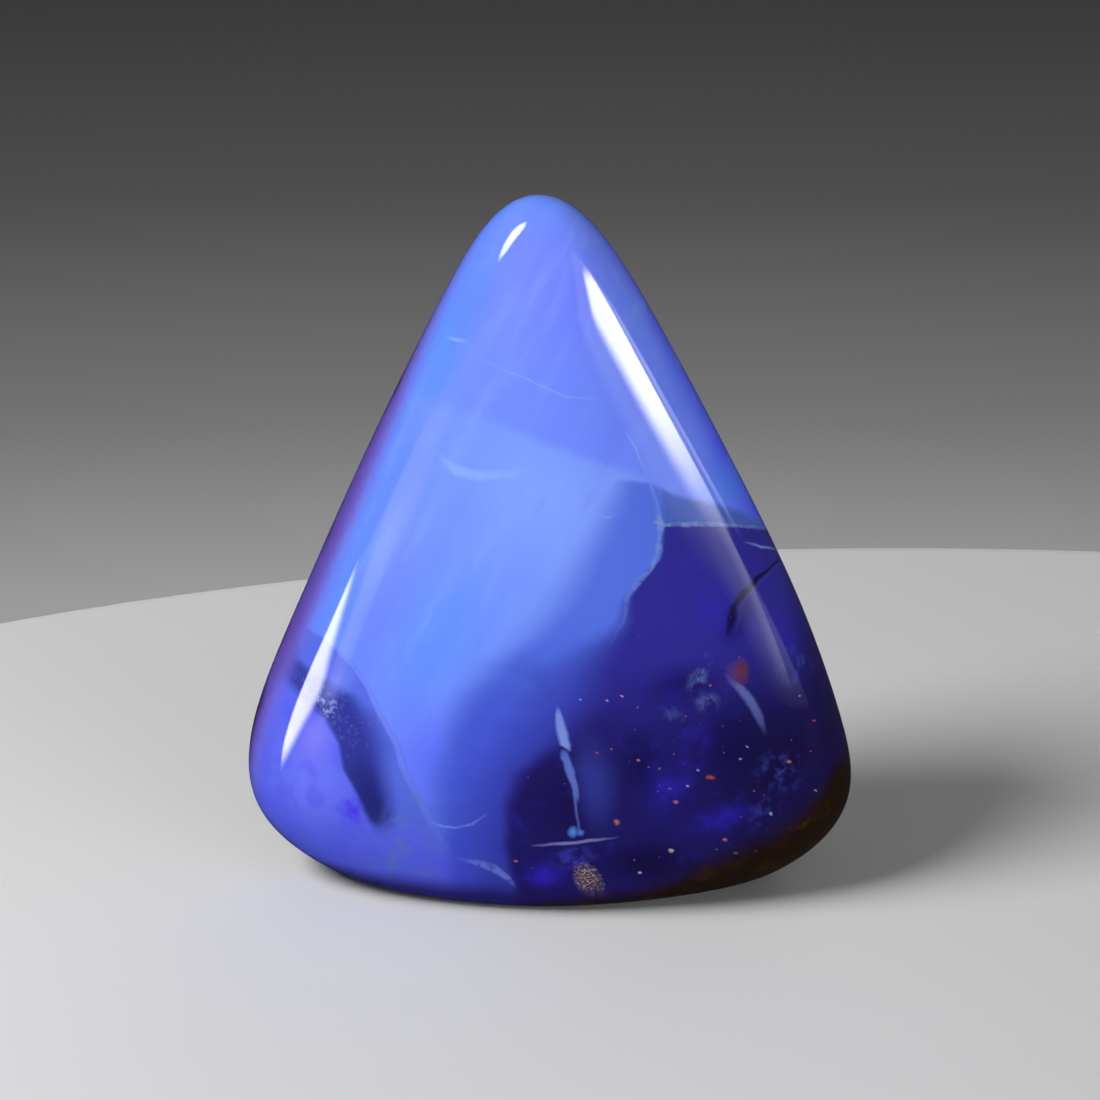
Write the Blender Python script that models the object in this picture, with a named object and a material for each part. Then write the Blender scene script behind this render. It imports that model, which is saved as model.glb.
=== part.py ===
"""A boulder opal, cut and polished as one rounded triangular stone that stands on a ground base.

The front, with the opal, faces -Y. +Z is up, and the origin is in the middle of the base.
Blender's units here are metres. The dimensions below are in millimetres.
"""

import bpy
import numpy as np

MM = 0.001

# The cage that pulls the outline into shape, anticlockwise from the apex, as (x, z) seen from the front.
# The stretch under z = 0 is the belly that the base is ground from.
OUTLINE_CAGE = [
    (-0.60, 36.10),
    (-3.05, 34.75),
    (-5.50, 30.20),
    (-9.40, 22.10),
    (-12.60, 14.60),
    (-15.20, 8.60),
    (-15.65, 4.10),
    (-12.80, 0.95),
    (-6.90, -1.60),
    (0.00, -3.10),
    (6.90, -1.55),
    (12.95, 0.45),
    (15.95, 4.00),
    (14.90, 8.40),
    (12.70, 14.80),
    (9.05, 22.20),
    (4.95, 30.10),
    (2.05, 34.85),
]
CENTRE = (0.0, 10.5)  # the crown of both faces, in the outline's plane
INNER_OVAL = (12.0, 15.0)  # the half axes that the contour lines tend to, towards the crown
INNER_POWER = 1.2  # how late they do so
FRONT_DEPTH = 7.3
BACK_DEPTH = 7.3
FRONT_FLATNESS = 2.7  # 2 is an ellipse's dome, and more is flatter with a quicker edge
BACK_FLATNESS = 3.2
BASE_EDGE = 0.7  # how far above the base its rounded edge begins

MEAN_RADIUS = 15.0  # only for spacing the vertices evenly over the faces
SPHERE_SUBDIVISIONS = 5  # 5120 triangles
CURVE_SAMPLES = 2000
TINY = 1e-9  # keeps a division by a length of 0 away from the crown

OPAL_BLUE = (0.13, 0.19, 0.85, 1.0)
POLISH_ROUGHNESS = 0.06


def clear_scene():
    for obj in list(bpy.data.objects):
        bpy.data.objects.remove(obj)


def closed_curve(cage, samples):
    """Evenly spaced points on the closed cubic B-spline that the cage pulls into shape, which never ripples."""
    points = np.array(cage)
    t = np.linspace(0, 1, samples // len(points), endpoint=False)[:, None]
    weights = (1 - t) ** 3, 3 * t**3 - 6 * t**2 + 4, -3 * t**3 + 3 * t**2 + 3 * t + 1, t**3
    stretches = []
    for i in range(len(points)):
        near = np.roll(points, 1 - i, axis=0)[:4]
        stretches.append(sum(weight * point for weight, point in zip(weights, near)) / 6)
    curve = np.concatenate(stretches)
    curve = np.vstack([curve, curve[:1]])
    length = np.concatenate([[0], np.cumsum(np.linalg.norm(np.diff(curve, axis=0), axis=1))])
    even = np.linspace(0, length[-1], samples)
    return np.column_stack([np.interp(even, length, curve[:, k]) for k in (0, 1)])


def face_profile(depth, flatness):
    """(reach, height) from the crown of a face to the girdle, evenly spaced: reach is 0 to 1, height depth to 0."""
    turn = np.linspace(0, np.pi / 2, CURVE_SAMPLES)
    reach = np.sin(turn) ** (2 / flatness)
    height = depth * np.cos(turn)
    steps = np.hypot(np.diff(reach * MEAN_RADIUS), np.diff(height))
    length = np.concatenate([[0], np.cumsum(steps)])
    even = np.linspace(0, length[-1], CURVE_SAMPLES)
    return np.interp(even, length, reach), np.interp(even, length, height)


def stone_points(directions):
    """Where each direction of a unit sphere lands on the stone, in millimetres, before the base is ground."""
    x, y, z = directions.T
    outline = closed_curve(OUTLINE_CAGE, CURVE_SAMPLES)
    # The outline starts at the apex and runs anticlockwise, towards -X first.
    share = (np.arctan2(z, x) - np.pi / 2) / (2 * np.pi) % 1
    place = share * (CURVE_SAMPLES - 1)
    index = np.arange(CURVE_SAMPLES)
    rim = np.column_stack([np.interp(place, index, outline[:, k]) for k in (0, 1)]) - np.array(CENTRE)
    oval = np.array(INNER_OVAL) * np.column_stack([x, z]) / (np.hypot(x, z)[:, None] + TINY)

    from_crown = np.arccos(np.clip(np.abs(y), 0, 1)) / (np.pi / 2) * (CURVE_SAMPLES - 1)
    points = np.empty_like(directions)
    for facing, depth, flatness in (
        (y < 0, FRONT_DEPTH, FRONT_FLATNESS),
        (y >= 0, BACK_DEPTH, BACK_FLATNESS),
    ):
        reach, height = face_profile(depth, flatness)
        out = np.interp(from_crown[facing], index, reach)[:, None]
        inward = (1 - out) ** INNER_POWER
        flat = np.array(CENTRE) + out * (rim[facing] * (1 - inward) + oval[facing] * inward)
        points[facing, 0] = flat[:, 0]
        points[facing, 1] = np.sign(y[facing]) * np.interp(from_crown[facing], index, height)
        points[facing, 2] = flat[:, 1]
    return points


def ground_base(points):
    """The same points with everything under z = 0 ground flat, and a rounded edge round the base."""
    z = points[:, 2]
    rounded = (z + BASE_EDGE) ** 2 / (4 * BASE_EDGE)
    ground = points.copy()
    ground[:, 2] = np.where(z > BASE_EDGE, z, np.where(z < -BASE_EDGE, 0, rounded))
    return ground


def centred(points):
    """The same points with the middle of their footprint over the origin."""
    middle = (points.min(0) + points.max(0)) / 2
    return points - np.array([middle[0], middle[1], 0])


def opal_material():
    material = bpy.data.materials.new("polished_opal")
    material.use_nodes = True
    surface = material.node_tree.nodes["Principled BSDF"]
    surface.inputs["Base Color"].default_value = OPAL_BLUE
    surface.inputs["Roughness"].default_value = POLISH_ROUGHNESS
    surface.inputs["Metallic"].default_value = 0.0
    return material


def make_stone(collection):
    """The whole stone: an icosphere whose vertices are moved onto the cut shape."""
    bpy.ops.mesh.primitive_ico_sphere_add(subdivisions=SPHERE_SUBDIVISIONS, radius=1)
    stone = bpy.context.object
    stone.name = "boulder_opal"
    mesh = stone.data
    directions = np.empty(len(mesh.vertices) * 3)
    mesh.vertices.foreach_get("co", directions)
    directions = directions.reshape(-1, 3)
    directions /= np.linalg.norm(directions, axis=1)[:, None]

    points = centred(ground_base(stone_points(directions)))
    mesh.vertices.foreach_set("co", (points * MM).ravel())
    mesh.update()
    mesh.shade_smooth()
    mesh.materials.append(opal_material())
    for user in list(stone.users_collection):
        user.objects.unlink(stone)
    collection.objects.link(stone)
    return stone


def main():
    clear_scene()
    collection = bpy.data.collections.new("boulder_opal_stone")
    bpy.context.scene.collection.children.link(collection)
    make_stone(collection)


main()
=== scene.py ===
import math

import bmesh
import bpy
import numpy as np
from mathutils import Matrix, Vector


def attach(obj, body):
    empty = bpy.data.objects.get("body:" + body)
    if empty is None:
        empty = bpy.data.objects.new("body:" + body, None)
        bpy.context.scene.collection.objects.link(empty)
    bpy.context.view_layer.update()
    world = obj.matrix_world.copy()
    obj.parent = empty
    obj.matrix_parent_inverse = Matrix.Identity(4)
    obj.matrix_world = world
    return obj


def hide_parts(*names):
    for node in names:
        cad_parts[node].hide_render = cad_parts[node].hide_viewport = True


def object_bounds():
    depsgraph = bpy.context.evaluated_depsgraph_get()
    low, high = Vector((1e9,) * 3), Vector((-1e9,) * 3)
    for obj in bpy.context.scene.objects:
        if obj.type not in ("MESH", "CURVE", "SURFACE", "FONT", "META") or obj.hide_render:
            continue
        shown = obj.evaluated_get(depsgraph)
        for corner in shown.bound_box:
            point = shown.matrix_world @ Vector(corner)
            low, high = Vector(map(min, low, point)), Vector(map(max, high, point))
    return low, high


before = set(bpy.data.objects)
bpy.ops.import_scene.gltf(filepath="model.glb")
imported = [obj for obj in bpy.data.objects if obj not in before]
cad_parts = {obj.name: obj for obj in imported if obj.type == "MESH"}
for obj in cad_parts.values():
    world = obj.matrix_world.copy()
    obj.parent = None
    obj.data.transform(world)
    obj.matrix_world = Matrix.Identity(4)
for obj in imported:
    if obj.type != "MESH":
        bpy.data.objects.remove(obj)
cad_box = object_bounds()

# A polished boulder opal that stands on a pale slab, in soft studio light.
# Places and sizes are in millimetres unless a name says otherwise.

MM = 0.001

# The stone's shape, the same as the solid's.
OUTLINE_CAGE = [
    (-0.60, 36.10),
    (-3.05, 34.75),
    (-5.50, 30.20),
    (-9.40, 22.10),
    (-12.60, 14.60),
    (-15.20, 8.60),
    (-15.65, 4.10),
    (-12.80, 0.95),
    (-6.90, -1.60),
    (0.00, -3.10),
    (6.90, -1.55),
    (12.95, 0.45),
    (15.95, 4.00),
    (14.90, 8.40),
    (12.70, 14.80),
    (9.05, 22.20),
    (4.95, 30.10),
    (2.05, 34.85),
]
CENTRE = (0.0, 10.5)
INNER_OVAL = (12.0, 15.0)
INNER_POWER = 1.2
FRONT_DEPTH = 7.3
BACK_DEPTH = 7.3
FRONT_FLATNESS = 2.7
BACK_FLATNESS = 3.2
BASE_EDGE = 0.7
MEAN_RADIUS = 15.0
CURVE_SAMPLES = 6000
TINY = 1e-9
GRID = 118  # quads along each side of the sphere's six faces, about 167,000 triangles in all

# The camera, and the direction along which the markings run through the stone.
VIEW_ELEVATION = math.radians(20)
VIEW_DISTANCE = 206.25
VIEW_AIM = (0.0, 0.0, 17.38)
LENS = 135.0
CAMERA_CLIP = (0.01, 10)  # in metres

OPAL_IOR = 1.44
THROUGH = 1e6  # how deep a painted mark reaches into the stone, which is right through it
TRACK_MARGIN = 0.01
LINE_CORE = 0.3  # how much of a vein's half width is at its full strength
LINE_END = 0.15  # how quickly a vein ends past its last point
SILK_LEAN = 28  # degrees, like the left side of the stone
SILK_GRAIN = (1.5, 4.0, 9.0)  # the size of the silky streaks across, into and along the stone


# The stone

def closed_curve(cage, samples):
    """Evenly spaced points on the closed cubic B-spline that the cage pulls into shape."""
    points = np.array(cage)
    t = np.linspace(0, 1, samples // len(points), endpoint=False)[:, None]
    weights = (1 - t) ** 3, 3 * t**3 - 6 * t**2 + 4, -3 * t**3 + 3 * t**2 + 3 * t + 1, t**3
    stretches = []
    for i in range(len(points)):
        near = np.roll(points, 1 - i, axis=0)[:4]
        stretches.append(sum(weight * point for weight, point in zip(weights, near)) / 6)
    curve = np.concatenate(stretches)
    curve = np.vstack([curve, curve[:1]])
    length = np.concatenate([[0], np.cumsum(np.linalg.norm(np.diff(curve, axis=0), axis=1))])
    even = np.linspace(0, length[-1], samples)
    return np.column_stack([np.interp(even, length, curve[:, k]) for k in (0, 1)])


def face_profile(depth, flatness):
    """(reach, height) from the crown of a face to the girdle, evenly spaced."""
    turn = np.linspace(0, np.pi / 2, CURVE_SAMPLES)
    reach = np.sin(turn) ** (2 / flatness)
    height = depth * np.cos(turn)
    steps = np.hypot(np.diff(reach * MEAN_RADIUS), np.diff(height))
    length = np.concatenate([[0], np.cumsum(steps)])
    even = np.linspace(0, length[-1], CURVE_SAMPLES)
    return np.interp(even, length, reach), np.interp(even, length, height)


def stone_points(directions):
    """Where each direction of a unit sphere lands on the stone, in millimetres."""
    x, y, z = directions.T
    outline = closed_curve(OUTLINE_CAGE, CURVE_SAMPLES)
    share = (np.arctan2(z, x) - np.pi / 2) / (2 * np.pi) % 1
    place = share * (CURVE_SAMPLES - 1)
    index = np.arange(CURVE_SAMPLES)
    rim = np.column_stack([np.interp(place, index, outline[:, k]) for k in (0, 1)]) - np.array(CENTRE)
    oval = np.array(INNER_OVAL) * np.column_stack([x, z]) / (np.hypot(x, z)[:, None] + TINY)

    from_crown = np.arccos(np.clip(np.abs(y), 0, 1)) / (np.pi / 2) * (CURVE_SAMPLES - 1)
    points = np.empty_like(directions)
    for facing, depth, flatness in (
        (y < 0, FRONT_DEPTH, FRONT_FLATNESS),
        (y >= 0, BACK_DEPTH, BACK_FLATNESS),
    ):
        reach, height = face_profile(depth, flatness)
        out = np.interp(from_crown[facing], index, reach)[:, None]
        inward = (1 - out) ** INNER_POWER
        flat = np.array(CENTRE) + out * (rim[facing] * (1 - inward) + oval[facing] * inward)
        points[facing, 0] = flat[:, 0]
        points[facing, 1] = np.sign(y[facing]) * np.interp(from_crown[facing], index, height)
        points[facing, 2] = flat[:, 1]
    level = points[:, 2]
    rounded = (level + BASE_EDGE) ** 2 / (4 * BASE_EDGE)
    points[:, 2] = np.where(level > BASE_EDGE, level, np.where(level < -BASE_EDGE, 0, rounded))
    middle = (points.min(0) + points.max(0)) / 2
    return points - np.array([middle[0], middle[1], 0])


def kept_inside(points, low, high):
    """The points drawn in, by a few thousandths at most, so that none lies outside the solid's box."""
    limits = np.minimum(np.abs(np.array(low)), np.abs(np.array(high)))[:2]
    across = (limits / np.abs(points[:, :2]).max(0)).min()
    up = high[2] / points[:, 2].max()
    return points * min(1.0, across, up)


def make_stone():
    grid = bmesh.new()
    bmesh.ops.create_cube(grid, size=2)
    bmesh.ops.subdivide_edges(grid, edges=grid.edges[:], cuts=GRID - 1, use_grid_fill=True)
    mesh = bpy.data.meshes.new("opal_stone")
    grid.to_mesh(mesh)
    grid.free()

    cube = np.empty(len(mesh.vertices) * 3)
    mesh.vertices.foreach_get("co", cube)
    directions = np.tan(cube.reshape(-1, 3) * np.pi / 4)
    directions /= np.linalg.norm(directions, axis=1)[:, None]
    points = kept_inside(stone_points(directions) * MM, *cad_box)
    mesh.vertices.foreach_set("co", points.ravel())
    mesh.update()
    mesh.shade_smooth()
    stone = bpy.data.objects.new("opal_stone", mesh)
    bpy.context.scene.collection.objects.link(stone)
    return stone


# Painting with nodes

def tone(red, green, blue):
    """A linear colour from display values of 0 to 255."""
    shares = [value / 255 for value in (red, green, blue)]
    return [c / 12.92 if c < 0.04045 else ((c + 0.055) / 1.055) ** 2.4 for c in shares] + [1.0]


class Paint:
    """A material whose colour is painted in layers, each mixed over the ones before it."""

    def __init__(self, name, ground):
        self.material = bpy.data.materials.new(name)
        self.material.use_nodes = True
        self.tree = self.material.node_tree
        self.surface = self.tree.nodes["Principled BSDF"]
        self.colour = tone(*ground)
        self.made = {}

        # Turned so that z runs up the picture, and in millimetres
        turned = self.node(
            "ShaderNodeMapping",
            Vector=self.node("ShaderNodeTexCoord").outputs["Object"],
            Rotation=(VIEW_ELEVATION, 0, 0),
            Scale=(1 / MM,) * 3,
        )
        self.steady = turned.outputs[0]
        self.place = self.steady

    def node(self, kind, settings=(), **inputs):
        made = self.tree.nodes.new(kind)
        for name, value in dict(settings).items():
            setattr(made, name, value)
        for name, value in inputs.items():
            self.feed(made.inputs[name.replace("_", " ")], value)
        return made

    def feed(self, socket, value):
        if isinstance(value, bpy.types.NodeSocket):
            self.tree.links.new(value, socket)
        else:
            socket.default_value = value

    def maths(self, operation, *values):
        made = self.node("ShaderNodeMath", {"operation": operation})
        for socket, value in zip(made.inputs, values):
            self.feed(socket, value)
        return made.outputs[0]

    def ramp(self, value, low, high, start=0.0, end=1.0, smooth=True):
        """Goes from start to end as the value goes from low to high. A smooth one stays level outside them.

        It needs no clamp, which would only give the renderer more values to hold at a time.
        """
        kind = "SMOOTHSTEP" if smooth else "LINEAR"
        made = self.node(
            "ShaderNodeMapRange",
            {"interpolation_type": kind, "clamp": False},
            Value=value,
            From_Min=low,
            From_Max=high,
            To_Min=start,
            To_Max=end,
        )
        return made.outputs["Result"]

    def once(self, key, make):
        """What make() builds, built only the first time that the key is asked for."""
        if key not in self.made:
            self.made[key] = make()
        return self.made[key]

    def noise(self, scale, detail, roughness=0.5, place=None, output="Fac"):
        made = self.node(
            "ShaderNodeTexNoise", Vector=place or self.steady, Scale=scale, Detail=detail, Roughness=roughness
        )
        return made.outputs[output]

    def ripple(self, amount, scale, detail):
        """Moves everything painted after it by noise, in millimetres, so that no edge is ruler straight."""
        noise = self.noise(scale, detail, output="Color")
        centred = self.node("ShaderNodeVectorMath", {"operation": "SUBTRACT"})
        self.feed(centred.inputs[0], noise)
        centred.inputs[1].default_value = (0.5, 0.5, 0.5)
        rippled = self.node("ShaderNodeVectorMath", {"operation": "MULTIPLY_ADD"})
        self.feed(rippled.inputs[0], centred.outputs[0])
        rippled.inputs[1].default_value = (2 * amount,) * 3
        self.feed(rippled.inputs[2], self.steady)
        self.place = rippled.outputs[0]

    def axes(self):
        place = self.place
        parts = self.once(("axes", place), lambda: self.node("ShaderNodeSeparateXYZ", Vector=place))
        return parts.outputs[0], parts.outputs[2]

    def blob(self, x, z, wide, tall, turn=0.0, power=1.0):
        """A soft round mark: 1 in its middle, 0 at its edge. A positive turn leans its top to the right."""
        mapped = self.node(
            "ShaderNodeMapping",
            {"vector_type": "TEXTURE"},
            Vector=self.place,
            Location=(x, 0, z),
            Rotation=(0, math.radians(turn), 0),
            Scale=(wide, THROUGH, tall),
        )
        ball = self.node("ShaderNodeTexGradient", {"gradient_type": "SPHERICAL"}, Vector=mapped.outputs[0])
        fall = self.ramp(ball.outputs["Fac"], 0, 1)
        return self.maths("POWER", fall, power) if power != 1.0 else fall

    def track(self, points, upright=True):
        """(distance, width, strength) from a line through (x, z, width, strength) points, low to high.

        An upright line gives x for each z, and a lying one z for each x.
        """
        key = ("track", self.place, tuple(points), upright)
        return self.once(key, lambda: self.new_track(points, upright))

    def new_track(self, points, upright):
        x, z = self.axes()
        run, cross = (z, x) if upright else (x, z)
        at = [(p[1], p[0]) if upright else (p[0], p[1]) for p in points]
        runs, crosses = [a for a, _ in at], [c for _, c in at]
        low, high = min(crosses) - TRACK_MARGIN, max(crosses) + TRACK_MARGIN
        widest = max(p[2] for p in points)

        share = self.ramp(run, runs[0], runs[-1], smooth=False)
        made = self.node("ShaderNodeValToRGB", Fac=share)
        stops = made.color_ramp.elements
        while len(stops) < len(points):
            stops.new(0.5)
        for stop, point, along, across in zip(stops, points, runs, crosses):
            stop.position = (along - runs[0]) / (runs[-1] - runs[0])
            stop.color = ((across - low) / (high - low), point[2] / widest, point[3], 1)
        parts = self.node("ShaderNodeSeparateColor", Color=made.outputs["Color"])
        middle = self.ramp(parts.outputs[0], 0, 1, low, high, smooth=False)
        distance = self.maths("SUBTRACT", cross, middle)
        width = self.maths("MULTIPLY", parts.outputs[1], widest)
        return distance, width, parts.outputs[2]

    def line(self, points, upright=True):
        """A vein through (x, z, half width, strength) points."""
        distance, width, strength = self.track(points, upright)
        ratio = self.maths("DIVIDE", self.maths("ABSOLUTE", distance), width)
        mark = self.maths("MULTIPLY", self.ramp(ratio, 1, LINE_CORE), strength)
        run = self.axes()[1 if upright else 0]
        ends = [point[1 if upright else 0] for point in (points[0], points[-1])]
        for end, inward in zip(ends, (LINE_END, -LINE_END)):
            mark = self.maths("MULTIPLY", mark, self.ramp(run, end - inward, end + inward))
        return mark

    def beyond(self, points, upright=True, side=1):
        """What lies right of (or above) a boundary through (x, z, softness, strength) points.

        With side -1 it is what lies left of it (or under it).
        """
        distance, width, strength = self.track(points, upright)
        mark = self.ramp(self.maths("DIVIDE", distance, width), -side, side)
        if all(point[3] == 1.0 for point in points):
            return mark
        return self.maths("MULTIPLY", mark, strength)

    def specks(self, scale, radius, share, low, high):
        """Small dots in some of the cells of a Voronoi pattern, inside a soft box between two corners."""
        cells = self.node("ShaderNodeTexVoronoi", Vector=self.steady, Scale=scale)
        chance = self.node("ShaderNodeSeparateColor", Color=cells.outputs["Color"])
        size = self.maths("MULTIPLY", chance.outputs[1], radius)
        dot = self.maths("SUBTRACT", size, cells.outputs["Distance"])
        dot = self.ramp(dot, 0, radius * SPECK_EDGE)
        dot = self.maths("MULTIPLY", dot, self.maths("LESS_THAN", chance.outputs[0], share))
        for value, start, end in zip(self.axes(), low, high):
            dot = self.maths("MULTIPLY", dot, self.ramp(value, start, start + 1))
            dot = self.maths("MULTIPLY", dot, self.ramp(value, end, end - 1))
        return dot

    def blend(self, mask, first, second):
        """A colour that goes from the first to the second as the mask goes from 0 to 1."""
        mix = self.node("ShaderNodeMix", {"data_type": "RGBA"})
        for index, value in ((0, mask), (6, first), (7, second)):
            self.feed(mix.inputs[index], value)
        return mix.outputs[2]

    def lay(self, shade, mask, strength=1.0):
        """Mixes a colour, from display values or a socket, over what is there."""
        if strength != 1.0:
            mask = self.maths("MULTIPLY", mask, strength)
        shade = shade if isinstance(shade, bpy.types.NodeSocket) else tone(*shade)
        self.colour = self.blend(mask, self.colour, shade)

    def finish(self, roughness):
        self.feed(self.surface.inputs["Base Color"], self.colour)
        self.feed(self.surface.inputs["Roughness"], roughness)
        self.surface.inputs["IOR"].default_value = OPAL_IOR
        return self.material


# The opal's markings, seen along the camera's direction, as (x, z, softness or half width, strength)

AZURE_SIDE = [
    (-9.6, 12.0, 1.4, 1.0),
    (-7.6, 18.5, 1.3, 1.0),
    (-5.2, 24.0, 1.3, 1.0),
    (-3.0, 29.0, 1.1, 1.0),
    (-1.8, 33.0, 1.0, 0.6),
]
WINDOW_TOP = [
    (-7.4, 24.6, 0.5, 0.0),
    (-5.9, 23.6, 0.5, 0.6),
    (-3.7, 23.0, 0.5, 0.9),
    (-1.6, 22.0, 0.4, 1.0),
    (1.3, 20.9, 0.3, 1.0),
    (3.4, 20.2, 0.3, 1.0),
    (4.9, 19.6, 0.3, 1.0),
]
SLAB_LEFT = [
    (-5.4, 0.5, 1.2, 0.6),
    (-5.5, 3.3, 1.2, 0.8),
    (-5.3, 4.8, 1.2, 1.0),
    (-5.0, 6.1, 1.2, 1.0),
    (-4.6, 7.5, 1.2, 1.0),
    (-3.9, 9.2, 1.3, 1.0),
    (-2.9, 10.6, 1.4, 1.0),
    (-1.4, 11.9, 1.5, 1.0),
    (0.2, 13.6, 1.5, 1.0),
    (1.1, 15.1, 1.4, 1.0),
    (2.0, 16.7, 1.3, 1.0),
    (2.9, 18.3, 1.1, 1.0),
    (3.6, 19.8, 0.7, 1.0),
]
SLATE_TOP = [
    (3.6, 19.6, 0.15, 1.0),
    (4.8, 19.5, 0.15, 1.0),
    (5.9, 19.1, 0.2, 1.0),
    (7.5, 18.7, 0.25, 1.0),
    (9.5, 18.1, 0.3, 1.0),
    (10.9, 17.5, 0.3, 1.0),
]
PALE_SEAM = [
    (5.1, 17.7, 0.11, 1.0),
    (5.6, 17.6, 0.13, 0.9),
    (7.0, 17.6, 0.16, 0.9),
    (8.1, 17.6, 0.15, 0.9),
    (9.2, 17.5, 0.12, 0.6),
    (11.4, 17.4, 0.12, 0.35),
]
UPRIGHT_SEAM = [
    (2.4, 11.2, 0.1, 0.0),
    (3.0, 11.8, 0.13, 0.1),
    (3.6, 12.9, 0.12, 0.25),
    (3.8, 14.1, 0.16, 0.45),
    (4.4, 14.9, 0.3, 0.65),
    (4.9, 15.4, 0.15, 0.6),
    (5.3, 16.2, 0.28, 1.0),
    (5.3, 16.9, 0.15, 0.8),
    (5.4, 17.6, 0.25, 1.0),
    (5.2, 18.4, 0.14, 0.8),
    (4.8, 19.6, 0.12, 0.8),
]
DARK_LEFT = [
    (-1.6, -1.0, 0.35, 1.0),
    (-2.3, 1.4, 0.45, 1.0),
    (-2.1, 3.9, 0.6, 1.0),
    (-1.4, 5.5, 0.8, 1.0),
    (0.4, 6.9, 1.2, 1.0),
    (2.0, 9.0, 1.8, 1.0),
    (2.5, 10.6, 1.0, 1.0),
    (3.0, 11.8, 0.8, 1.0),
    (3.6, 12.9, 0.6, 1.0),
    (3.8, 14.1, 0.4, 1.0),
    (4.4, 14.9, 0.2, 1.0),
    (5.2, 15.9, 0.2, 1.0),
    (5.4, 17.8, 0.2, 1.0),
]
DUSK_LEFT = [
    (-3.6, -1.0, 0.8, 1.0),
    (-3.6, 1.4, 1.0, 1.0),
    (-3.6, 3.9, 1.3, 1.0),
    (-3.0, 5.5, 1.6, 1.0),
    (-1.9, 6.9, 1.8, 1.0),
    (-0.7, 9.0, 2.0, 1.0),
    (0.6, 10.6, 1.8, 1.0),
    (2.4, 11.8, 1.2, 1.0),
    (3.4, 12.9, 0.8, 1.0),
    (3.8, 14.1, 0.5, 1.0),
]
LENS_LINE = [
    (-4.9, 0.6, 0.3, 0.0),
    (-5.6, 2.4, 0.3, 0.2),
    (-6.4, 4.0, 0.25, 0.5),
    (-7.2, 5.6, 0.2, 0.9),
    (-7.6, 6.9, 0.18, 1.0),
    (-8.4, 8.2, 0.17, 1.0),
    (-9.0, 9.6, 0.15, 1.0),
    (-9.8, 10.7, 0.14, 0.9),
    (-10.9, 11.8, 0.13, 0.8),
    (-12.2, 12.5, 0.12, 0.6),
]
LENS_LEFT = [
    (-8.4, 1.6, 0.4, 0.0),
    (-9.0, 2.8, 0.25, 1.0),
    (-9.6, 4.2, 0.2, 1.0),
    (-10.2, 5.5, 0.16, 1.0),
    (-10.5, 6.7, 0.16, 1.0),
    (-11.1, 7.8, 0.3, 1.0),
    (-12.0, 8.7, 0.5, 1.0),
    (-13.6, 10.2, 0.5, 0.9),
]
LENS_RIGHT = [
    (-8.0, 1.6, 0.6, 1.0),
    (-8.0, 3.6, 0.7, 1.0),
    (-8.1, 5.3, 0.8, 1.0),
    (-8.3, 6.7, 0.8, 1.0),
    (-8.9, 8.2, 0.8, 1.0),
    (-9.8, 9.2, 0.6, 1.0),
    (-11.6, 10.1, 0.5, 1.0),
    (-12.7, 10.9, 0.4, 1.0),
]
IRONSTONE_TOP = [
    (-2.0, -1.6, 0.3, 1.0),
    (4.0, -0.9, 0.6, 1.0),
    (5.7, -0.3, 0.8, 1.0),
    (7.6, 0.6, 0.9, 1.0),
    (9.6, 1.6, 1.0, 1.0),
    (11.3, 2.3, 1.0, 1.0),
    (12.6, 3.3, 1.0, 1.0),
    (13.6, 4.3, 0.9, 1.0),
    (14.6, 5.9, 0.7, 1.0),
]
LEFT_RIM = [
    (-14.9, 3.0, 0.3, 0.5),
    (-14.8, 5.0, 0.5, 0.8),
    (-14.5, 6.3, 0.5, 1.0),
    (-13.7, 8.8, 0.6, 1.0),
    (-12.5, 11.3, 0.6, 1.0),
    (-11.3, 13.8, 0.6, 1.0),
    (-9.1, 18.8, 0.6, 1.0),
    (-7.0, 23.8, 0.5, 1.0),
    (-4.9, 28.8, 0.4, 0.8),
    (-3.4, 31.9, 0.3, 0.5),
    (-2.0, 33.9, 0.3, 0.2),
]
# The right bevel's deeper blue: partly the stone's own colour, partly painted shade where the side turns from
# the light.
RIGHT_BEVEL_BLUE_AND_SHADE = [
    (11.9, 12.5, 1.0, 0.6),
    (10.6, 15.9, 1.0, 1.0),
    (9.0, 19.2, 0.9, 1.0),
    (6.6, 24.4, 0.9, 1.0),
    (4.3, 29.0, 0.8, 1.0),
    (2.3, 32.1, 0.8, 0.7),
    (0.8, 33.6, 0.8, 0.3),
]
# Painted shade along the right rim, where the stone turns away from the light.
RIGHT_EDGE_SHADE = [
    (14.4, 3.0, 0.8, 1.0),
    (13.7, 5.2, 0.8, 1.0),
    (13.1, 8.0, 0.8, 1.0),
    (12.6, 10.0, 0.7, 1.0),
    (12.3, 12.0, 0.6, 0.8),
    (11.9, 14.0, 0.5, 0.4),
]
CRACK = [
    (8.7, 12.2, 0.16, 0.7),
    (8.9, 13.0, 0.3, 1.0),
    (9.0, 13.6, 0.22, 0.9),
    (9.5, 14.2, 0.32, 1.0),
    (10.4, 15.1, 0.24, 1.0),
    (11.5, 15.9, 0.18, 0.8),
]
BLADE_TOP = [
    (0.95, 6.55, 0.12, 0.8),
    (0.75, 6.8, 0.36, 1.0),
    (0.6, 7.4, 0.36, 1.0),
    (0.4, 8.3, 0.2, 0.9),
    (0.35, 8.7, 0.1, 0.0),
]
BLADE_LOW = [
    (1.35, 4.0, 0.1, 0.5),
    (1.2, 4.6, 0.2, 0.9),
    (1.0, 5.4, 0.32, 0.9),
    (0.75, 6.1, 0.3, 0.9),
    (0.7, 6.5, 0.2, 0.6),
]
BLADE_TAIL = [(1.5, 2.4, 0.1, 0.35), (1.3, 3.4, 0.1, 0.35), (1.15, 4.4, 0.12, 0.5)]
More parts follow.
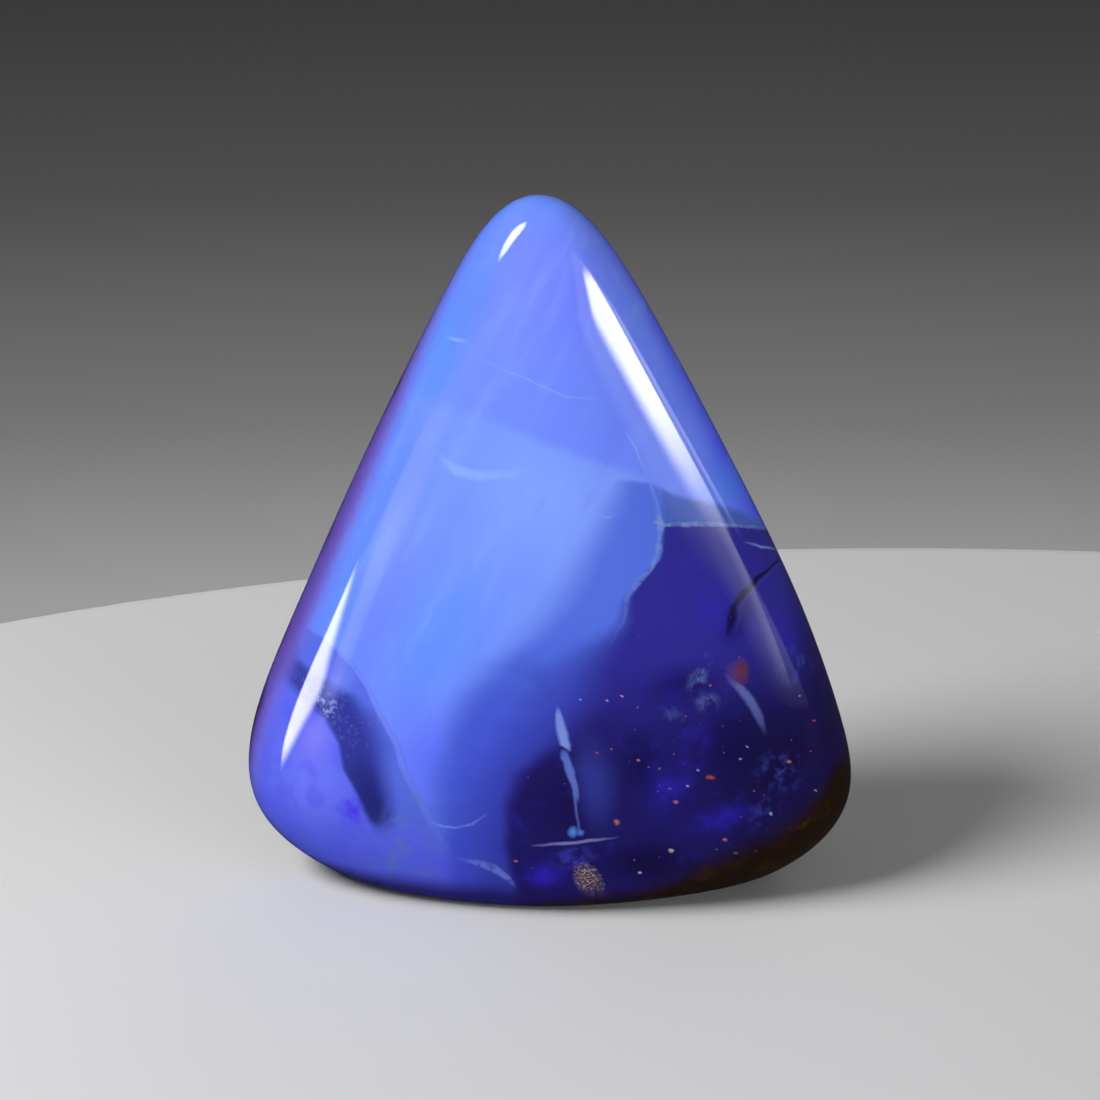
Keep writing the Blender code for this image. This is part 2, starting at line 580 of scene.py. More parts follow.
SECOND_BLADE = [
    (10.7, 7.1, 0.12, 0.0),
    (10.3, 8.1, 0.34, 0.7),
    (9.8, 9.0, 0.42, 0.9),
    (9.3, 9.6, 0.36, 0.9),
    (8.5, 10.3, 0.1, 0.0),
]
PALE_DASH = [(-0.9, 1.68, 0.06, 0.2), (0.6, 1.8, 0.12, 0.8), (2.2, 1.95, 0.12, 0.7), (3.4, 2.1, 0.05, 0.1)]
PALE_ARC = [
    (-6.1, 3.0, 0.08, 0.3),
    (-5.4, 2.7, 0.1, 0.9),
    (-4.6, 2.6, 0.1, 1.0),
    (-3.8, 2.8, 0.1, 0.8),
    (-3.1, 3.3, 0.08, 0.3),
]
FEATHER = [
    (-4.6, 1.0, 0.1, 0.2),
    (-3.6, 0.75, 0.2, 0.8),
    (-2.6, 0.4, 0.36, 0.9),
    (-2.0, -0.1, 0.3, 0.9),
    (-1.7, -0.5, 0.1, 0.2),
]
HAIRLINES_LYING = [
    [(-3.7, 25.6, 0.08, 0.0), (-1.3, 24.6, 0.08, 0.5), (0.7, 23.7, 0.08, 0.5), (2.7, 23.5, 0.08, 0.0)],
    [
        (-5.6, 21.1, 0.3, 0.0),
        (-4.6, 20.2, 0.35, 0.7),
        (-3.4, 19.9, 0.35, 0.7),
        (-1.9, 20.0, 0.3, 0.3),
        (-0.7, 20.3, 0.3, 0.0),
    ],
    [(-5.1, 26.7, 0.1, 0.0), (-4.5, 26.5, 0.15, 1.0), (-3.9, 26.4, 0.1, 0.0)],
    [(9.6, 16.7, 0.08, 0.2), (10.4, 16.5, 0.1, 0.8), (11.3, 16.4, 0.08, 0.5)],
    [(2.2, 18.0, 0.07, 0.0), (2.8, 17.9, 0.08, 0.6), (3.3, 18.1, 0.07, 0.0)],
]
HAIRLINE_UPRIGHT = [(4.7, 20.0, 0.08, 0.2), (4.1, 21.3, 0.1, 0.7), (3.6, 22.1, 0.08, 0.2)]

# Patches of colour, as (x, z, half width, half height, turn) and sometimes a strength

DARK_PATCHES = [
    (6.4, 9.7, 2.8, 1.5, -8),
    (8.9, 6.8, 1.9, 2.8, -10),
    (4.4, 5.9, 1.4, 2.2, 0),
    (9.3, 12.9, 1.0, 1.9, 30),
]
ROYAL_PATCHES = [
    (-0.4, 0.0, 1.6, 1.0, 0, 0.8),
    (6.9, 6.0, 1.1, 2.6, 20, 0.5),
    (8.3, 3.0, 2.2, 1.1, -10, 0.7),
    (5.4, 4.4, 1.5, 2.0, 0, 0.35),
    (8.2, 13.4, 2.4, 1.6, 30, 0.35),
    (5.4, 9.4, 1.8, 1.2, 0, 0.3),
    (11.9, 12.2, 1.4, 2.0, -20, 0.3),
]
LENS_WISPS = [
    (-7.5, 2.0, 1.1, 2.0, -15),
    (-5.9, 2.3, 0.9, 1.7, -20),
    (-8.3, 0.6, 1.5, 0.9, 10),
    (-7.0, 4.6, 0.6, 1.8, -25),
    (-6.4, 0.4, 1.2, 0.7, 0),
]

# Smears, as a colour and their patch with its strength
SMEARS = [
    ((84, 104, 168), (7.3, 10.2, 0.6, 1.4, 22, 1.0)),
    ((84, 100, 166), (7.7, 8.9, 0.75, 0.7, 0, 0.9)),
    ((80, 90, 160), (6.0, 8.3, 0.8, 0.45, 25, 0.7)),
    ((56, 76, 180), (11.4, 5.3, 1.6, 1.3, 0, 0.7)),
    ((60, 78, 178), (12.1, 10.6, 1.4, 1.1, -30, 0.7)),
    ((56, 66, 176), (10.6, 3.3, 1.0, 1.4, 30, 0.5)),
    ((70, 70, 190), (1.2, 1.1, 1.4, 0.8, 0, 0.7)),
]

# Small grains, as a colour and the (x, z, radius) of each
GRAINS = {
    (196, 120, 84): [
        (4.3, 6.0, 0.17), (3.3, 2.9, 0.26), (11.9, 5.8, 0.2),
        (6.2, 3.9, 0.22), (8.7, 1.9, 0.2), (-1.7, 0.9, 0.14),
    ],
    (188, 78, 62): [(7.9, 5.1, 0.3), (13.2, 7.8, 0.12), (13.0, 6.3, 0.12), (2.3, 6.4, 0.14)],
    (222, 196, 180): [
        (6.0, 1.4, 0.24), (10.3, 1.2, 0.15), (9.3, 1.2, 0.17), (8.9, 0.4, 0.17), (4.5, 0.2, 0.17),
    ],
    (150, 176, 236): [
        (9.7, 6.6, 0.1), (9.4, 6.0, 0.1), (7.3, 5.5, 0.14),
        (6.8, 4.7, 0.14), (1.5, 9.0, 0.12), (11.0, 3.2, 0.2),
    ],
    (196, 150, 214): [(2.8, 9.0, 0.12), (3.5, 9.2, 0.13), (12.4, 9.1, 0.1), (13.3, 4.3, 0.16)],
}
GRAIN_SHAPE = (0.85, 0.55)  # half width and half height, as shares of the radius
GRAIN_TURN = 20

# Small specks: their cells per millimetre, largest radius, share of cells, and box from (x, z) to (x, z)
RUSTY_DUST = (1.7, 0.14, 0.5, (-2, -1), (14.5, 11))
PALE_DUST = (2.6, 0.1, 0.3, (1, 0), (14.5, 14))
SPECK_EDGE = 0.25  # the soft part of a speck's radius

# How sharp a round mark's edge is: 1 is softest, and lower is fuller
FULL = 0.7
FULLER = 0.6
FULLEST = 0.5
DISC = 0.4

# How far everything painted wanders: (amount, grain, detail)
BROAD_RIPPLE = (0.35, 0.25, 3.0)
FINE_RIPPLE = (0.12, 0.9, 3.0)
FINEST_RIPPLE = (0.14, 2.4, 3.0)

# How far behind the stone's middle plane the host, its fringe and its opal veins begin, from none to full
HOST_LEAN = -0.13  # the host begins further back towards the right, by this share of the way across
HOST_WANDER = 1.6
HOST_FRINGE = (0.4, 1.8)
HOST_START = (1.2, 2.4)
BACK_VEINS_START = (2.6, 3.6)
BACK_VEINS_LEVEL = 0.52  # the level of the noise along which the back's veins run
BACK_VEINS_HALO = (0.03, 0.018)
BACK_VEINS_CORE = (0.018, 0.01)
# Painted shade: the foot darkens towards the floor, where the stone curves under.
FOOT_SHADE_BAND = (2.3, 0.7)  # the heights between which the foot darkens
POLISH = 0.04
HOST_POLISH = 0.14


def all_of(paint, *masks):
    both = masks[0]
    for mask in masks[1:]:
        both = paint.maths("MULTIPLY", both, mask)
    return both


def at_full_strength(points, widening=1):
    return [(x, z, widening * width, 1.0) for x, z, width, _ in points]


def moved(points, right, up, widening):
    """The same line or boundary a little further on, and wider or narrower."""
    return [(x + right, z + up, width * widening, strength) for x, z, width, strength in points]


def milky_top(paint):
    """The clear violet-blue upper half, bluer at its tip and left side, and deeper blue on the right bevel,
    partly painted shade where that side turns from the light.
    """
    paint.lay((112, 128, 252), paint.blob(0.0, 29.0, 4.6, 6.5))
    paint.lay((108, 146, 250), paint.blob(-0.5, 33.6, 4.2, 3.0))
    paint.lay((98, 136, 248), paint.beyond(AZURE_SIDE, side=-1))
    paint.lay((92, 146, 250), paint.blob(-5.2, 25.6, 1.4, 3.8, 24), 0.6)
    # Painted shade, in part: the right bevel laid a deeper blue where it turns from the light.
    paint.lay((76, 88, 252), paint.beyond(RIGHT_BEVEL_BLUE_AND_SHADE))
    paint.lay((76, 128, 244), paint.blob(8.9, 19.6, 1.6, 1.8, -26), 0.7)


def window(paint):
    """The sky-blue window under the milky top, azure at its lower left, with silky streaks."""
    x, z = paint.axes()
    under = all_of(paint, paint.beyond(WINDOW_TOP, upright=False, side=-1), paint.ramp(x, 5.2, 4.4))
    paint.lay((116, 148, 250), all_of(paint, under, paint.ramp(z, 3, 12)))
    paint.lay((128, 160, 251), all_of(paint, under, paint.blob(0.6, 18.6, 5.5, 5.0, 30)), 0.9)
    paint.lay((94, 142, 250), paint.blob(-5.4, 12.0, 3.4, 6.0, 26), 0.8)
    paint.lay((98, 116, 250), paint.blob(-5.6, 6.0, 3.4, 4.4))
    silk = paint.node(
        "ShaderNodeMapping",
        {"vector_type": "TEXTURE"},
        Vector=paint.steady,
        Rotation=(0, math.radians(SILK_LEAN), 0),
        Scale=SILK_GRAIN,
    ).outputs[0]
    streaks = paint.noise(1.0, 3.0, 0.6, place=silk)
    paint.lay((138, 168, 252), all_of(paint, paint.ramp(streaks, 0.48, 0.78), paint.ramp(z, 6, 12)), 0.35)
    paint.lay((96, 118, 248), all_of(paint, paint.ramp(streaks, 0.48, 0.25), paint.ramp(z, 6, 12)), 0.3)


def slab(paint):
    """The slate-blue slab that leans across the middle."""
    inside = paint.beyond(SLAB_LEFT)
    x, z = paint.axes()
    low = paint.beyond(SLATE_TOP, upright=False, side=-1)
    paint.lay((84, 112, 224), all_of(paint, inside, low))
    cloud = paint.ramp(paint.noise(0.45, 3.0, 0.6), 0.35, 0.65)
    paint.lay((64, 80, 200), all_of(paint, inside, low, paint.ramp(z, 13, 7)))
    paint.lay((78, 94, 224), all_of(paint, inside, low, cloud, paint.ramp(z, 14, 9)), 0.5)
    paint.lay((56, 62, 196), all_of(paint, inside, paint.ramp(z, 4.5, 1.5), paint.ramp(x, 0, -2)), 0.8)
    paint.lay((60, 76, 176), paint.blob(2.6, 10.2, 2.2, 2.2), 0.5)
    paint.lay((60, 82, 176), all_of(paint, cloud, paint.blob(-1.0, 9.8, 2.2, 1.6, 40)), 0.7)
    paint.lay((66, 72, 210), paint.blob(-5.2, 0.3, 3.0, 1.7), 0.8)
    paint.lay((72, 98, 188), all_of(paint, low, paint.beyond(DARK_LEFT), paint.ramp(z, 16, 17)))


def dark_field(paint):
    """The indigo right half under the pale seam, with brighter royal-blue patches, painted shade along the
    right rim and a faint painted reflection below the right streak.
    """
    under = paint.beyond(at_full_strength(PALE_SEAM), upright=False, side=-1)
    inside = all_of(paint, paint.beyond(DARK_LEFT), under)
    x, z = paint.axes()
    paint.lay((52, 58, 164), all_of(paint, paint.beyond(DUSK_LEFT), paint.ramp(z, 13.5, 11.5)), 0.75)
    paint.lay((48, 43, 146), inside)
    paint.lay((33, 27, 100), all_of(paint, inside, paint.ramp(z, 11.5, 6)))
    paint.lay((24, 17, 60), all_of(paint, inside, paint.blob(11.5, 6.0, 6.5, 7.5)), 0.9)
    paint.lay((26, 18, 74), all_of(paint, inside, paint.blob(1.0, 4.0, 3.6, 3.6)), 0.8)
    paint.lay((22, 14, 58), all_of(paint, inside, paint.blob(5.0, 0.8, 4.0, 1.6, 5)), 0.8)
    mottle = paint.noise(0.5, 4.0, 0.65)
    paint.lay((54, 44, 184), all_of(paint, inside, paint.ramp(mottle, 0.52, 0.76), paint.ramp(x, 11, 8)), 0.4)
    for patch in DARK_PATCHES:
        paint.lay((22, 17, 76), all_of(paint, inside, paint.blob(*patch)), 0.75)
    for *patch, strength in ROYAL_PATCHES:
        paint.lay((54, 38, 196), all_of(paint, paint.ramp(mottle, 0.3, 0.6), paint.blob(*patch)), strength)
    # Painted reflection: a faint violet haze below the right streak, where the strip lamp's glow carries on.
    paint.lay((60, 44, 158), all_of(paint, inside, paint.blob(10.6, 12.9, 1.2, 2.2, -25)), 0.35)
    paint.lay((52, 62, 156), paint.blob(2.2, 4.9, 1.5, 3.6, -8), 0.75)
    # Painted shade: the right rim darkens where it turns away from the light.
    paint.lay((26, 19, 66), all_of(paint, inside, paint.beyond(RIGHT_EDGE_SHADE)), 0.8)
    paint.lay((40, 32, 84), paint.blob(13.0, 7.0, 0.7, 2.6, -10), 0.3)


def lens(paint):
    """The lower left lobe, and the dark lens that lies across it."""
    lobe = paint.beyond(at_full_strength(LENS_LINE, widening=2), side=-1)
    _, z = paint.axes()
    paint.lay((90, 98, 232), lobe, 0.9)
    paint.lay((108, 118, 246), paint.blob(-12.0, 5.0, 3.2, 3.6))
    cloud = paint.ramp(paint.noise(0.7, 3.0, 0.6), 0.38, 0.62)
    paint.lay((84, 92, 236), all_of(paint, lobe, cloud), 0.5)
    paint.lay((132, 128, 246), paint.blob(-11.7, 7.0, 1.3, 2.0, 30), 0.7)
    paint.lay((78, 52, 238), all_of(paint, cloud, paint.blob(-9.8, 3.4, 1.0, 1.8, -35)), 0.9)
    paint.lay((86, 106, 222), all_of(paint, lobe, paint.beyond(LENS_LEFT), paint.ramp(z, 1.5, 3)))
    body = all_of(paint, paint.beyond(LENS_LEFT), paint.beyond(LENS_RIGHT, side=-1), paint.ramp(z, 1.6, 3.2))
    paint.lay((50, 56, 152), body)
    grain = paint.noise(4.0, 3.0, 0.7)
    paint.lay((88, 100, 180), all_of(paint, body, paint.ramp(grain, 0.5, 0.72), paint.ramp(z, 4, 8)), 0.6)
    paint.lay((34, 38, 112), all_of(paint, body, paint.blob(-8.8, 3.9, 1.8, 3.4, -20)), 0.85)
    paint.lay((124, 144, 240), paint.line(LENS_LINE), 0.5)
    paint.lay((116, 136, 240), all_of(paint, lobe, paint.blob(-10.4, 9.9, 1.9, 0.8, -45)), 0.5)
    sparkle = paint.ramp(paint.noise(3.2, 4.0, 0.7), 0.5, 0.64)
    paint.lay((150, 168, 236), all_of(paint, sparkle, paint.blob(-11.1, 8.6, 0.9, 1.1, -30, FULL)), 0.8)
    wisps = paint.ramp(paint.noise(1.1, 4.0, 0.65), 0.44, 0.62)
    for patch in LENS_WISPS:
        paint.lay((96, 118, 202), all_of(paint, wisps, paint.blob(*patch, FULL)), 0.75)


def veins(paint):
    """The pale seams, hairlines, blades and the dark crack."""
    beads = paint.ramp(paint.noise(2.2, 3.0, 0.7), 0.36, 0.56, 0.35, 1.0)
    paint.lay((122, 148, 214), all_of(paint, paint.line(UPRIGHT_SEAM), beads), 0.8)
    paint.lay((126, 150, 210), all_of(paint, paint.line(PALE_SEAM, upright=False), beads), 0.8)
    for points in HAIRLINES_LYING:
        paint.lay((150, 186, 250), paint.line(points, upright=False), 0.6)
    paint.lay((150, 178, 246), paint.line(HAIRLINE_UPRIGHT), 0.6)
    paint.lay((20, 14, 50), paint.line(CRACK), 0.9)
    paint.lay((84, 70, 150), paint.line(moved(CRACK, 0.4, 0.1, 0.6)), 0.25)
    paint.lay((128, 154, 232), paint.line(BLADE_TOP), 0.85)
    paint.lay((104, 126, 218), paint.line(BLADE_LOW), 0.8)
    paint.lay((110, 130, 226), paint.line(BLADE_TAIL))
    paint.lay((92, 140, 228), paint.blob(1.15, 2.4, 0.32, 0.34, power=FULLER), 0.9)
    paint.lay((84, 122, 226), paint.blob(1.55, 2.34, 0.22, 0.2, power=FULLER), 0.9)
    paint.lay((100, 110, 184), paint.line(SECOND_BLADE), 0.9)
    paint.lay((144, 146, 214), paint.line(PALE_DASH, upright=False), 0.8)
    paint.lay((130, 160, 240), all_of(paint, paint.line(PALE_ARC, upright=False), beads), 0.5)
    paint.lay((118, 134, 222), all_of(paint, paint.line(FEATHER, upright=False), beads), 0.8)


def inclusions(paint):
    """Smears, the rusty spot, the speckled tan inclusion and the scattered grains."""
    wisps = paint.ramp(paint.noise(1.3, 5.0, 0.65), 0.42, 0.62)
    for shade, (*patch, strength) in SMEARS:
        paint.lay(shade, all_of(paint, wisps, paint.blob(*patch, FULL)), strength)
    paint.lay((84, 62, 128), paint.blob(9.0, 10.3, 0.5, 0.75, power=FULLEST), 0.7)
    paint.lay((108, 52, 58), paint.blob(9.4, 10.35, 0.46, 0.8, power=FULLEST), 0.85)
    spots = paint.noise(8.0, 3.0, 0.8)
    tan = paint.blob(1.95, -0.2, 0.72, 1.15, -28, DISC)
    paint.lay((104, 84, 100), tan)
    paint.lay((216, 192, 178), all_of(paint, tan, paint.ramp(spots, 0.53, 0.6)))
    paint.lay((36, 26, 52), all_of(paint, tan, paint.ramp(spots, 0.49, 0.43)))
    paint.lay((132, 90, 70), all_of(paint, wisps, paint.blob(2.8, -1.0, 0.7, 0.45, power=FULLEST)), 0.8)

    paint.lay((160, 108, 110), paint.specks(*RUSTY_DUST), 0.5)
    paint.lay((134, 134, 214), paint.specks(*PALE_DUST), 0.6)
    for shade, places in GRAINS.items():
        for x, z, radius in places:
            wide, tall = (radius * share for share in GRAIN_SHAPE)
            paint.lay(shade, paint.blob(x, z, wide, tall, GRAIN_TURN, FULL), 0.85)


def ironstone(paint):
    """The brown host: the lower right edge, the left rim, the foot and the whole back, and painted shade that
    darkens the foot towards the floor.
    """
    place = paint.node("ShaderNodeTexCoord").outputs["Object"]
    sides = paint.node("ShaderNodeSeparateXYZ", Vector=place)
    wander = paint.ramp(paint.noise(0.22, 3.0), 0.2, 0.8, -HOST_WANDER, HOST_WANDER, smooth=False)
    depth = paint.maths("MULTIPLY_ADD", sides.outputs[0], HOST_LEAN / MM, wander)
    depth = paint.maths("MULTIPLY_ADD", sides.outputs[1], 1 / MM, depth)

    paint.lay((112, 104, 208), paint.beyond(LEFT_RIM, side=-1), 0.85)
    paint.lay((96, 68, 166), paint.beyond(moved(LEFT_RIM, -0.45, 0, 0.8), side=-1), 0.85)
    height = paint.maths("MULTIPLY", sides.outputs[2], 1 / MM)
    # Painted shade: the foot darkens towards the floor.
    paint.lay((36, 26, 96), paint.ramp(height, *FOOT_SHADE_BAND), 0.9)
    under = paint.beyond(IRONSTONE_TOP, upright=False, side=-1)
    behind = paint.ramp(depth, *HOST_START)
    paint.lay((60, 44, 120), paint.ramp(depth, *HOST_FRINGE), 0.8)
    host = paint.maths("MAXIMUM", under, behind)

    grain = paint.ramp(paint.noise(0.35, 6.0, 0.62), 0.35, 0.68)
    brown = paint.blend(grain, tone(46, 27, 12), tone(112, 70, 36))
    paint.lay(paint.blend(behind, tone(32, 19, 10), brown), host)
    glints = paint.ramp(paint.noise(0.7, 5.0, 0.7), 0.5, 0.75)
    paint.lay((76, 46, 18), all_of(paint, under, glints), 0.55)

    level = paint.maths("SUBTRACT", paint.noise(0.16, 4.0, 0.55), BACK_VEINS_LEVEL)
    level = paint.maths("ABSOLUTE", level)
    inner = paint.ramp(depth, *BACK_VEINS_START)
    paint.lay((104, 84, 96), all_of(paint, inner, paint.ramp(level, *BACK_VEINS_HALO)))
    fire = paint.ramp(paint.noise(0.5, 3.0, 0.6), 0.4, 0.62)
    vein = paint.blend(fire, tone(44, 52, 176), tone(84, 128, 240))
    paint.lay(vein, all_of(paint, inner, paint.ramp(level, *BACK_VEINS_CORE)))
    return host


def opal():
    paint = Paint("polished_opal", ground=(110, 136, 250))
    paint.ripple(*BROAD_RIPPLE)
    milky_top(paint)
    window(paint)
    slab(paint)
    dark_field(paint)
    lens(paint)
    paint.ripple(*FINE_RIPPLE)
    veins(paint)
    paint.ripple(*FINEST_RIPPLE)
    inclusions(paint)
    host = ironstone(paint)
    return paint.finish(paint.ramp(host, 0, 1, POLISH, HOST_POLISH))


# The studio

FLOOR_MIDDLE = (21.7, -18.9)
FLOOR_HALVES = (94.0, 69.5)
FLOOR_THICKNESS = 12.0
FLOOR_EDGE = 3.0
FLOOR_EDGE_STEPS = 6
FLOOR_SIDES = 256
FLOOR_SHARP = math.radians(40)
FLOOR_GREY = 212
FLOOR_ROUGHNESS = 0.9

# How light the backdrop and the rest of the room are, by the height of the direction: -1 is straight down.
BACKDROP_LEVELS = [(-1.0, 0.33), (-0.352, 0.33), (-0.31, 0.17), (-0.26, 0.075), (-0.215, 0.042), (1.0, 0.03)]
ROOM_LEVELS = [(-1.0, 0.02), (-0.3, 0.02), (0.0, 0.04), (0.2, 0.06), (1.0, 0.1)]

# The lamp that the spot near the tip mirrors
TIP_LAMP = {"middle": (-143, -28, 225), "aim": (0, 0, 25), "wide": 66, "tall": 180}
TIP_LAMP_CORE = 0.6

# Glows, as a radiance and edges of (along_y, along_z, dark, full)
RIGHT_GLOWS = [
    # The bright streak
    (23, ((1, 0.34, 13, 11), (1, 0.81, 3, 18), (-1, 1, 106, 92), (0.53, 1, 68, 56), (0, 1, 25, 42))),
    # The thin line beside it, and its lower end
    (3.2, ((1, 0.5, 26, 24.5), (1, 0.5, 19, 23.5), (0, 1, 24, 32), (0, 1, 66, 44))),
    (1.6, ((1, -0.3, -7, -8.4), (1, -0.3, -19, -9), (0, 1, 7, 14), (0, 1, 34, 26))),
    # The haze under the streak, and the haze around it
    (0.9, ((1, 0.27, 7.5, 5), (1, 0.1, -26, -10), (0, 1, 3, 16), (0, 1, 40, 26))),
    (1.4, (
        (1, 0.5, 26, 24.5), (1, -0.3, -7, -8.4), (1, 0.84, -24, -4), (-0.52, 1, 118, 100), (0, 1, 18, 38),
    )),
]
LEFT_GLOWS = [
    # The bright streak
    (18, ((1, -0.126, -4.2, -5.8), (1, -1.38, -35, -29), (1, 0.7, -15, -8), (0, 1, 23, 19), (0, 1, -12, 2))),
    # The thin line inside it, and the faint band above them
    (1.7, ((1, -0.6, -24.5, -27.5), (1, -0.15, -33, -27), (0, 1, 32, 20), (0, 1, 0, 10))),
    (1.4, ((1, 0.35, 4, 1), (1, -0.35, -46, -36), (0, 1, 44, 30), (0, 1, 15, 26))),
]


def make_floor():
    bpy.ops.mesh.primitive_cylinder_add(
        vertices=FLOOR_SIDES,
        radius=MM,
        depth=FLOOR_THICKNESS * MM,
        location=(FLOOR_MIDDLE[0] * MM, FLOOR_MIDDLE[1] * MM, -FLOOR_THICKNESS / 2 * MM),
    )
    floor = bpy.context.object
    floor.data.transform(Matrix.Diagonal((*FLOOR_HALVES, 1, 1)))
    floor.name = "floor"
    edge = floor.modifiers.new("edge", "BEVEL")
    edge.width = FLOOR_EDGE * MM
    edge.segments = FLOOR_EDGE_STEPS
    floor.data.shade_smooth()
    floor.data.set_sharp_from_angle(angle=FLOOR_SHARP)
    material = bpy.data.materials.new("pale_floor")
    material.use_nodes = True
    surface = material.node_tree.nodes["Principled BSDF"]
    surface.inputs["Base Color"].default_value = tone(FLOOR_GREY, FLOOR_GREY, FLOOR_GREY)
    surface.inputs["Roughness"].default_value = FLOOR_ROUGHNESS
    surface.inputs["Specular IOR Level"].default_value = 0.0
    floor.data.materials.append(material)
    floor.visible_glossy = False


def panel(name, middle, wide, tall, radiance, aim, seen_in, shape="RECTANGLE"):
    """A flat light whose middle and aim are (x, y, z). White paper in full light has a radiance of 1.

    It is seen in the "gloss" or in the "matt" colour.
    """
    light = bpy.data.lights.new(name, "AREA")
    light.shape = shape
    light.size, light.size_y = wide * MM, tall * MM
    light.energy = radiance * math.pi * light.size * light.size_y
    lamp = bpy.data.objects.new(name, light)
    lamp.location = Vector(middle) * MM
    lamp.rotation_mode = "QUATERNION"
    lamp.rotation_quaternion = turned_to(middle, aim)
    lamp.visible_camera = False
    lamp.visible_diffuse = seen_in == "matt"
    lamp.visible_glossy = seen_in == "gloss"
    bpy.context.scene.collection.objects.link(lamp)
    return lamp


def turned_to(middle, aim):
    """The turn of a lamp that looks from its middle at its aim."""
    return (Vector(middle) - Vector(aim)).to_track_quat("Z", "Y")


def lamp_nodes(lamp):
    """The lamp's node tree, and the place on it that a ray meets."""
    lamp.data.use_nodes = True
    tree = lamp.data.node_tree
    return tree, tree.nodes.new("ShaderNodeNewGeometry").outputs["Position"]


def sum_or_product(tree, operation, first, second):
    both = tree.nodes.new("ShaderNodeMath")
    both.operation = operation
    for socket, value in zip(both.inputs, (first, second)):
        if isinstance(value, bpy.types.NodeSocket):
            tree.links.new(value, socket)
        else:
            socket.default_value = value
    return both.outputs[0]


def along(tree, place, direction):
    """How far the place lies along a direction, with the lengths in millimetres."""
    dot = tree.nodes.new("ShaderNodeVectorMath")
    dot.operation = "DOT_PRODUCT"
    tree.links.new(place, dot.inputs[0])
    dot.inputs[1].default_value = Vector(direction) / MM
    return dot.outputs["Value"]


def fade(tree, value, dark, full):
    """0 where the value is dark and 1 where it is full."""
    fall = tree.nodes.new("ShaderNodeMapRange")
    fall.interpolation_type = "SMOOTHSTEP"
    fall.inputs["From Min"].default_value = dark
    fall.inputs["From Max"].default_value = full
    tree.links.new(value, fall.inputs["Value"])
    return fall.outputs["Result"]


def upright_panel(name, x, low, high, glows):
    """A light in the plane of x that faces the stone, between two (y, z) corners, seen only in the gloss.

    It is the sum of its glows. Each edge of a glow says how far a place lies along its direction where the
    glow is dark, and where it is full. One lamp holds them all, because a dark lamp hides what is behind it.
    """
    y, z = (low[0] + high[0]) / 2, (low[1] + high[1]) / 2
    lamp = panel(name, (x, y, z), high[0] - low[0], high[1] - low[1], 1, (0, y, z), "gloss")
    tree, place = lamp_nodes(lamp)
    total = 0.0
    for radiance, edges in glows:
        glow = radiance
        for along_y, along_z, dark, full in edges:
            edge = fade(tree, along(tree, place, (0, along_y, along_z)), dark, full)
            glow = sum_or_product(tree, "MULTIPLY", glow, edge)
        total = sum_or_product(tree, "ADD", total, glow)
    tree.links.new(total, tree.nodes["Emission"].inputs["Strength"])


def soften(lamp, middle, aim, wide, tall, core):
    """Fades a panel from full at a share of its half width and height to dark at its rim."""
    tree, place = lamp_nodes(lamp)
    turned = turned_to(middle, aim)
    squares = 0.0
    for axis, half in ((Vector((1, 0, 0)), wide / 2), (Vector((0, 1, 0)), tall / 2)):
        across = turned @ axis / half
        share = sum_or_product(tree, "SUBTRACT", along(tree, place, across), Vector(middle).dot(across))
        squares = sum_or_product(tree, "ADD", squares, sum_or_product(tree, "MULTIPLY", share, share))
    tree.links.new(fade(tree, squares, 1, core**2), tree.nodes["Emission"].inputs["Strength"])


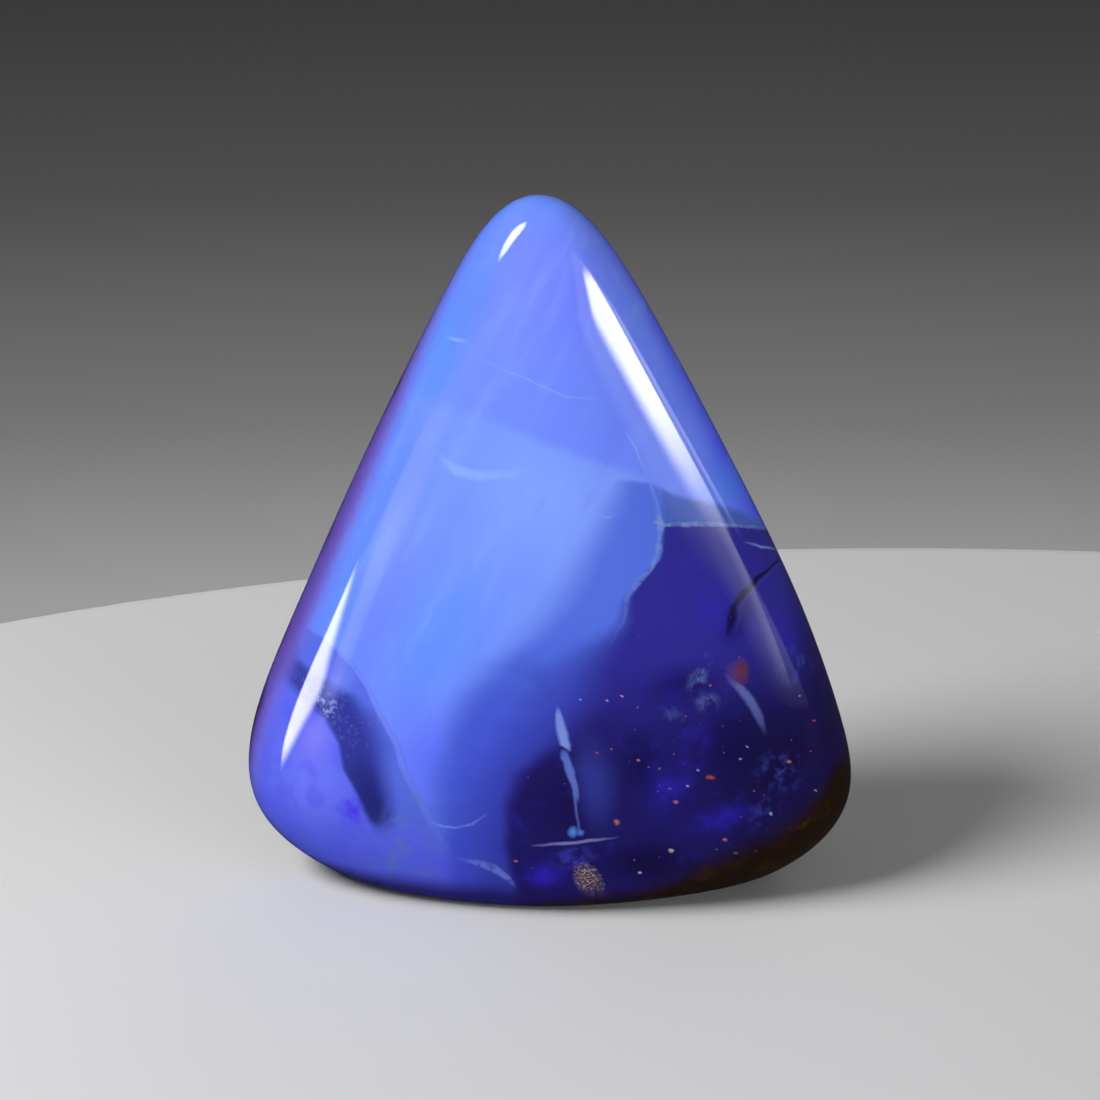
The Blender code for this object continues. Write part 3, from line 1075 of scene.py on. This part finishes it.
def light_room():
    """The world: the backdrop as the camera sees it, and a darker room around the stone."""
    world = bpy.data.worlds.new("studio")
    world.use_nodes = True
    tree = world.node_tree
    place = tree.nodes.new("ShaderNodeTexCoord")
    parts = tree.nodes.new("ShaderNodeSeparateXYZ")
    share = tree.nodes.new("ShaderNodeMapRange")
    share.inputs["From Min"].default_value = -1
    tree.links.new(place.outputs["Generated"], parts.inputs[0])
    tree.links.new(parts.outputs[2], share.inputs["Value"])
    seen = tree.nodes.new("ShaderNodeMix")
    seen.data_type = "RGBA"
    tree.links.new(tree.nodes.new("ShaderNodeLightPath").outputs["Is Camera Ray"], seen.inputs[0])
    for socket, levels in ((seen.inputs[6], ROOM_LEVELS), (seen.inputs[7], BACKDROP_LEVELS)):
        grade = tree.nodes.new("ShaderNodeValToRGB")
        stops = grade.color_ramp.elements
        while len(stops) < len(levels):
            stops.new(0.5)
        for stop, (height, level) in zip(stops, levels):
            stop.position = (height + 1) / 2
            stop.color = (level, level, level, 1)
        tree.links.new(share.outputs["Result"], grade.inputs["Fac"])
        tree.links.new(grade.outputs["Color"], socket)
    tree.links.new(seen.outputs[2], tree.nodes["Background"].inputs["Color"])
    bpy.context.scene.world = world


def light_studio():
    panel("key", (-160, -75, 190), 110, 110, 17, (0, 0, 20), "matt", shape="ELLIPSE")
    key_face = panel("key_face", radiance=17, seen_in="gloss", shape="ELLIPSE", **TIP_LAMP)
    soften(key_face, core=TIP_LAMP_CORE, **TIP_LAMP)
    panel("front_fill", (220, -260, 45), 260, 200, 4.8, (0, 0, 15), "matt")
    panel("back_fill", (120, 300, 40), 260, 200, 2.4, (0, 0, 15), "matt")
    upright_panel("right_strip", 60, (-90, 6), (20, 118), RIGHT_GLOWS)
    upright_panel("left_strip", -60, (-60, -14), (10, 60), LEFT_GLOWS)
    light_room()


def place_camera():
    lens = bpy.data.cameras.new("camera")
    lens.lens = LENS
    lens.clip_start, lens.clip_end = CAMERA_CLIP
    camera = bpy.data.objects.new("camera", lens)
    back = Vector((0, -math.cos(VIEW_ELEVATION), math.sin(VIEW_ELEVATION)))
    camera.location = (Vector(VIEW_AIM) + back * VIEW_DISTANCE) * MM
    camera.rotation_mode = "QUATERNION"
    camera.rotation_quaternion = back.to_track_quat("Z", "Y")
    bpy.context.scene.collection.objects.link(camera)
    bpy.context.scene.camera = camera


stone = make_stone()
stone.data.materials.append(opal())
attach(stone, "root")
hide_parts("boulder_opal")
make_floor()
light_studio()
place_camera()
bpy.context.scene.view_settings.view_transform = "Standard"
